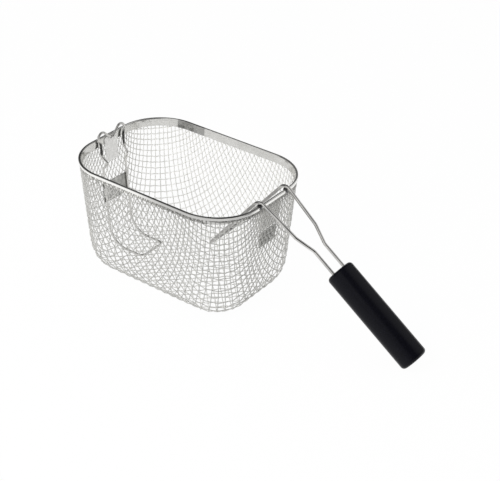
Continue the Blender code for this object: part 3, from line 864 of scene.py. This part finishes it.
def makePlate(name, node, slotName, material):
    layout = plates[name]
    end = layout["end"]
    outer = layout["offset"]
    inner = outer + plates["sheet"]
    outline = plateOutline(layout["width"], layout["low"], layout["high"])
    work = bmesh.new()
    rings = []
    for depth in (outer, inner):
        rings.append([work.verts.new(wallPlace(end, depth, z, y)) for y, z in outline])
    faces = [work.faces.new(rings[0]), work.faces.new(rings[1][::-1])]
    bridge(work, *rings)
    edges = [edge for face in faces for edge in face.edges]
    bmesh.ops.bevel(
        work, geom=edges, offset=plates["edge"], segments=plates["edgeSegments"],
        affect="EDGES",
    )
    for side in (-1, 1):
        across = side * layout["weldAcross"]
        addWeld(work, wallPlace(end, inner, layout["weldHeight"], across))
    item = meshObject(name, work, material)
    item.data.set_sharp_from_angle(angle=plates["sharpFrom"])
    place(item, "basket", slotName, node)


makeHookWire()
makePlate("hookStrap", "hook_strap", "band", steel["strap"])
makePlate("hookPlate", "hook_plate", "plate", steel["plate"])
makePlate("endStrap", "end_strap", "band", steel["strap"])
makePlate("endPlate", "end_plate", "plate", steel["plate"])
print("stage: hooks and plates made")


# Seats that the handle wire lies on

seat = {
    "width": 0.0034,
    "sheet": 0.0006,
    "inside": 0.006,
    "edge": 0.0002,
    "edgeSegments": 2,
    "sharpFrom": math.radians(50),
}
seatInner = clothInset + basket["fitGap"]
seatOuter = seatInner + seat["sheet"]
seatUnder = basket["rimHeight"] + basket["fitGap"]
seatTop = seatUnder + seat["sheet"]


def makeSeat(name, node, across):
    low = basket["rimHeight"] - basket["bandLip"]
    inside = basket["rimHeight"] - seat["inside"]
    half = seat["width"] / 2
    profile = (
        (-seatOuter, low),
        (-seatOuter, seatTop),
        (seatOuter, seatTop),
        (seatOuter, inside),
        (seatInner, inside),
        (seatInner, seatUnder),
        (-seatInner, seatUnder),
        (-seatInner, low),
    )
    work = bmesh.new()
    rings = []
    for y in (across - half, across + half):
        rings.append([work.verts.new(wallPlace(1, offset, z, y)) for offset, z in profile])
    work.faces.new(rings[0])
    work.faces.new(rings[1][::-1])
    bridge(work, *rings)
    bmesh.ops.bevel(
        work, geom=list(work.edges), offset=seat["edge"], segments=seat["edgeSegments"],
        affect="EDGES",
    )
    # Near-black seat steel: painted shade and dark reflection under the handle wire
    item = meshObject(name, work, steel["seat"])
    item.data.set_sharp_from_angle(angle=seat["sharpFrom"])
    place(item, "basket", "plate", node)


# Handle wire and grip, laid out in the XZ plane from an apex above the rim

handle = {
    "wire": 0.0034,
    "wireSides": 24,
    "arcStep": math.radians(5),
    "spacing": 0.0433,
    "bend": 0.008,
    "legSlope": math.radians(50.2),
    "legRoom": 0.0006,
    "legLength": 0.097,
    "legCorner": 0.008,
    "neckStart": 0.051,
    "neckEnd": 0.072,
    "neckStartSpacing": 0.0336,
    "neckSpacing": 0.0179,
    "neckBend": 0.010,
    "wireInGrip": 0.070,
    # Painted shade on the legs inside the basket
    "legShade": 0.66,
    "legShadeFrom": 0.104,
    "legShadeTo": 0.098,
}

grip = {
    "start": 0.1004,
    "length": 0.114,
    "width": 0.029,
    "thickness": 0.027,
    "endRound": 0.004,
    "endSteps": 10,
    "restSteps": 4,
    "squareness": 2.3,
    "sides": 96,
    "sharpFrom": math.radians(40),
    "boreRoom": 0.0003,
    "boreDepth": 0.006,
    "boreSides": 32,
}


def handleApex(drop):
    # Where the wire's two straight runs meet, each just clear of a corner of the seat
    radius = handle["wire"] / 2
    gap = basket["fitGap"]
    outer = wallPlace(1, -seatOuter, seatTop, 0)
    inner = wallPlace(1, seatOuter, seatTop, 0)
    slope = handle["legSlope"]
    a, b = math.sin(drop), math.cos(drop)
    c, d = -math.sin(slope), math.cos(slope)
    first = outer.x * a + outer.z * b + radius + gap
    second = inner.x * c + inner.z * d + radius + gap + handle["legRoom"]
    scale = a * d - b * c
    return (first * d - b * second) / scale, (a * second - first * c) / scale


def gripProfile(steps):
    # Distance along the grip, and how far its outline is drawn in there
    turn = grip["endRound"]
    near = []
    for step in range(steps + 1):
        angle = step / steps * math.pi / 2
        near.append((turn * (1 - math.cos(angle)), turn * (1 - math.sin(angle))))
    far = [(grip["length"] - along, shrink) for along, shrink in reversed(near)]
    return near + far


def gripLowPoint(drop):
    _, z = handleApex(drop)
    lowest = z
    for along, shrink in gripProfile(grip["restSteps"]):
        reach = grip["start"] + along
        depth = grip["thickness"] / 2 - shrink
        lowest = min(lowest, z - reach * math.sin(drop) - depth * math.cos(drop))
    return lowest


def dropAngle():
    # The slope at which the end of the grip just reaches the table
    shallow = math.radians(20)
    steep = math.radians(50)
    halvings = 50
    for _ in range(halvings):
        middle = (shallow + steep) / 2
        if gripLowPoint(middle) > 0:
            shallow = middle
        else:
            steep = middle
    return shallow


drop = dropAngle()
apexX, apexZ = handleApex(drop)
apex = Vector((apexX, 0, apexZ))
outWay = Vector((math.cos(drop), 0, -math.sin(drop)))
legWay = Vector((-math.cos(handle["legSlope"]), 0, -math.sin(handle["legSlope"])))


def shadeLegs(tree):
    # Painted shade: the legs that hang inside the basket are darker than the wire outside
    mask = rangeNode(tree, objectAxes(tree)["X"], handle["legShadeFrom"], handle["legShadeTo"])
    darkenWhere(tree, mask, handle["legShade"])


def makeHandleWire():
    shadeLegs(steel["rod"].node_tree)
    half = (
        (outWay * (grip["start"] + handle["wireInGrip"]), handle["neckSpacing"], 0),
        (outWay * handle["neckEnd"], handle["neckSpacing"], handle["neckBend"]),
        (outWay * handle["neckStart"], handle["neckStartSpacing"], handle["neckBend"]),
        (Vector((0, 0, 0)), handle["spacing"], handle["bend"]),
        (legWay * handle["legLength"], handle["spacing"], handle["legCorner"]),
    )
    line = [(apex + reach + Vector((0, space / 2, 0)), bend) for reach, space, bend in half]
    run = mirroredPath(line, handle["arcStep"])
    radius = handle["wire"] / 2
    item = wireObject("handleWire", [run], radius, handle["wireSides"], steel["rod"])
    place(item, "handle", "rod", "handle_wire")


gripLook = {
    "dark": (0.0025, 0.0025, 0.0040),
    "light": (0.0050, 0.0050, 0.0085),
    "darkAt": 0.3,
    "lightAt": 0.7,
    "roughLow": 0.20,
    "roughHigh": 0.34,
    "grainScale": 700,
    "grainDetail": 5,
    "smearScale": 35,
    "smearDetail": 3,
    "relief": 0.03,
    "specular": 0.10,
}


def plasticMaterial(name, look):
    # Fine grain sets the tone and the relief, and broad smears the roughness
    material, tree, shader = newMaterial(name)
    grain = noiseNode(tree, look["grainScale"], look["grainDetail"])
    stops = ((look["darkAt"], look["dark"]), (look["lightAt"], look["light"]))
    tree.links.new(rampNode(tree, grain, stops), shader.inputs["Base Color"])
    smears = noiseNode(tree, look["smearScale"], look["smearDetail"])
    roughen(tree, shader, smears, look)
    addRelief(tree, shader, grain, look)
    shader.inputs["Specular IOR Level"].default_value = look["specular"]
    return material


def boreGrip(item):
    # Two round holes in the near end, a little wider than the wires that enter them
    work = bmesh.new()
    radius = handle["wire"] / 2 + grip["boreRoom"]
    turn = outWay.to_track_quat("Z", "Y").to_matrix().to_4x4()
    for side in (-1, 1):
        centre = apex + outWay * grip["start"]
        centre = centre + Vector((0, side * handle["neckSpacing"] / 2, 0))
        bmesh.ops.create_cone(
            work, cap_ends=True, segments=grip["boreSides"], radius1=radius, radius2=radius,
            depth=2 * grip["boreDepth"], matrix=Matrix.Translation(centre) @ turn,
        )
    cutter = meshObject("gripBores", work, item.data.materials[0])
    bore = item.modifiers.new("bores", "BOOLEAN")
    bore.operation = "DIFFERENCE"
    bore.solver = "EXACT"
    bore.object = cutter
    result = shapedMesh(item)
    item.modifiers.remove(bore)
    item.data = result
    bpy.data.objects.remove(cutter, do_unlink=True)


def makeGrip():
    up = Vector((-outWay.z, 0, outWay.x))
    across = Vector((0, 1, 0))
    sides = grip["sides"]
    power = 2 / grip["squareness"]
    work = bmesh.new()
    rings = []
    for along, shrink in gripProfile(grip["endSteps"]):
        centre = apex + outWay * (grip["start"] + along)
        ring = []
        for k in range(sides):
            angle = (k + 0.5) * 2 * math.pi / sides
            shareY = math.copysign(abs(math.cos(angle)) ** power, math.cos(angle))
            shareZ = math.copysign(abs(math.sin(angle)) ** power, math.sin(angle))
            offset = across * (shareY * (grip["width"] / 2 - shrink))
            offset = offset + up * (shareZ * (grip["thickness"] / 2 - shrink))
            ring.append(work.verts.new(centre + offset))
        rings.append(ring)
    for first, second in zip(rings, rings[1:]):
        bridge(work, first, second)
    work.faces.new(rings[0])
    work.faces.new(rings[-1])
    item = meshObject("gripBody", work, plasticMaterial("gripPlastic", gripLook))
    boreGrip(item)
    item.data.set_sharp_from_angle(angle=grip["sharpFrom"])
    place(item, "handle", "grip", "grip")


makeSeat("seatLeft", "rim_seat_left", -handle["spacing"] / 2)
makeSeat("seatRight", "rim_seat_right", handle["spacing"] / 2)
makeHandleWire()
makeGrip()
print("stage: handle made")


# Camera at the photo's angle, roll in radians

view = {
    "azimuth": 35.9582,
    "elevation": 32.1764,
    "distance": 1.274743,
    "roll": 0.0268,
    "target": (0.064064, 0.0245488, 0.048),
    "lens": 87.60,
    "sensor": 36.0,
}


def makeCamera():
    azimuth = math.radians(view["azimuth"])
    elevation = math.radians(view["elevation"])
    flat = math.cos(elevation)
    away = Vector((math.sin(azimuth) * flat, -math.cos(azimuth) * flat, math.sin(elevation)))
    right = Vector((math.cos(azimuth), math.sin(azimuth), 0))
    up = right.cross(-away)
    cosRoll = math.cos(view["roll"])
    sinRoll = math.sin(view["roll"])
    axisX = right * cosRoll + up * sinRoll
    axisY = up * cosRoll - right * sinRoll
    turn = Matrix((axisX, axisY, away)).transposed().to_4x4()
    spot = Vector(view["target"]) + away * view["distance"]
    data = bpy.data.cameras.new("photoCamera")
    data.lens = view["lens"]
    data.sensor_width = view["sensor"]
    camera = addObject("photoCamera", data)
    camera.matrix_world = Matrix.Translation(spot) @ turn
    bpy.context.scene.camera = camera


# Studio: white paper low down, a dark room above it and two pale cards

lighting = {
    "cameraWhite": 1.0,
    "domeStrength": 0.66,
    "glossStops": ((0.0, 1.0), (0.04, 0.9), (0.12, 0.08), (0.70, 0.05), (0.95, 0.12)),
    "frontCard": ((-0.10, -0.80, 0.59), ((0.78, 0.0), (0.88, 0.95))),
    "backCard": ((0.336, 0.686, 0.644), ((0.80, 0.0), (0.95, 0.8))),
    "keyPower": 13.0,
    "keySize": 0.9,
    "keyPlace": (-0.1, -1.15, 1.05),
    "keyAim": (0.06, 0, 0.05),
}


def greyRamp(tree, source, stops):
    return rampNode(tree, source, [(position, (grey, grey, grey)) for position, grey in stops])


def addCard(tree, direction, room, toward, stops):
    # A pale card that mirror rays meet around one direction
    near = tree.nodes.new("ShaderNodeVectorMath")
    near.operation = "DOT_PRODUCT"
    near.inputs[1].default_value = toward
    tree.links.new(direction, near.inputs[0])
    card = greyRamp(tree, near.outputs["Value"], stops)
    return colourMix(tree, "LIGHTEN", 1.0, room, card)


def backgroundNode(tree, colour, strength):
    node = tree.nodes.new("ShaderNodeBackground")
    feed(tree, colour, node.inputs["Color"])
    node.inputs["Strength"].default_value = strength
    return node.outputs["Background"]


def shaderMix(tree, share, first, second):
    mix = tree.nodes.new("ShaderNodeMixShader")
    tree.links.new(share, mix.inputs["Fac"])
    tree.links.new(first, mix.inputs[1])
    tree.links.new(second, mix.inputs[2])
    return mix.outputs["Shader"]


def makeWorld():
    world = bpy.data.worlds.new("studioWorld")
    bpy.context.scene.world = world
    world.use_nodes = True
    tree = world.node_tree
    tree.nodes.clear()
    white = (1, 1, 1, 1)
    coord = tree.nodes.new("ShaderNodeTexCoord")
    split = tree.nodes.new("ShaderNodeSeparateXYZ")
    tree.links.new(coord.outputs["Generated"], split.inputs["Vector"])
    room = greyRamp(tree, split.outputs["Z"], lighting["glossStops"])
    for name in ("frontCard", "backCard"):
        room = addCard(tree, coord.outputs["Generated"], room, *lighting[name])
    mirrored = backgroundNode(tree, room, 1.0)
    dome = backgroundNode(tree, white, lighting["domeStrength"])
    plain = backgroundNode(tree, white, lighting["cameraWhite"])
    rays = tree.nodes.new("ShaderNodeLightPath").outputs
    through = mathNode(tree, "MAXIMUM", rays["Is Camera Ray"], rays["Is Transmission Ray"])
    lit = shaderMix(tree, rays["Is Glossy Ray"], dome, mirrored)
    output = tree.nodes.new("ShaderNodeOutputWorld")
    tree.links.new(shaderMix(tree, through, lit, plain), output.inputs["Surface"])


def makeLamp():
    # The lamp lights the object but isn't mirrored in it
    data = bpy.data.lights.new("keyLamp", "AREA")
    data.size = lighting["keySize"]
    data.energy = lighting["keyPower"]
    lamp = addObject("keyLamp", data)
    lamp.location = lighting["keyPlace"]
    lamp.visible_glossy = False
    aim = Vector(lighting["keyAim"]) - Vector(lighting["keyPlace"])
    lamp.rotation_euler = aim.to_track_quat("-Z", "Y").to_euler()


paper = {
    "size": 3.0,
    "height": -0.0005,
    "tone": 0.92,
    "rough": 0.9,
    "specular": 0.1,
    "glow": 0.97,
}


def makeFloor():
    # White paper that glows for camera and mirror rays, so only part of a shadow is seen
    material, tree, shader = newMaterial("floorPaper")
    tone = paper["tone"]
    shader.inputs["Base Color"].default_value = (tone, tone, tone, 1)
    shader.inputs["Roughness"].default_value = paper["rough"]
    shader.inputs["Specular IOR Level"].default_value = paper["specular"]
    glow = tree.nodes.new("ShaderNodeEmission")
    glow.inputs["Strength"].default_value = lighting["cameraWhite"]
    rays = tree.nodes.new("ShaderNodeLightPath").outputs
    direct = rays["Is Camera Ray"]
    for kind in ("Is Glossy Ray", "Is Transmission Ray"):
        direct = mathNode(tree, "MAXIMUM", direct, rays[kind])
    share = mathNode(tree, "MULTIPLY", direct, paper["glow"])
    surface = shaderMix(tree, share, shader.outputs["BSDF"], glow.outputs["Emission"])
    tree.links.new(surface, tree.nodes["Material Output"].inputs["Surface"])
    work = bmesh.new()
    bmesh.ops.create_grid(work, x_segments=1, y_segments=1, size=paper["size"])
    floor = meshObject("studioFloor", work, material, smooth=False)
    floor.location = (0, 0, paper["height"])


makeCamera()
makeWorld()
makeLamp()
makeFloor()
bpy.context.scene.view_settings.view_transform = "Standard"
print("stage: camera and light set")
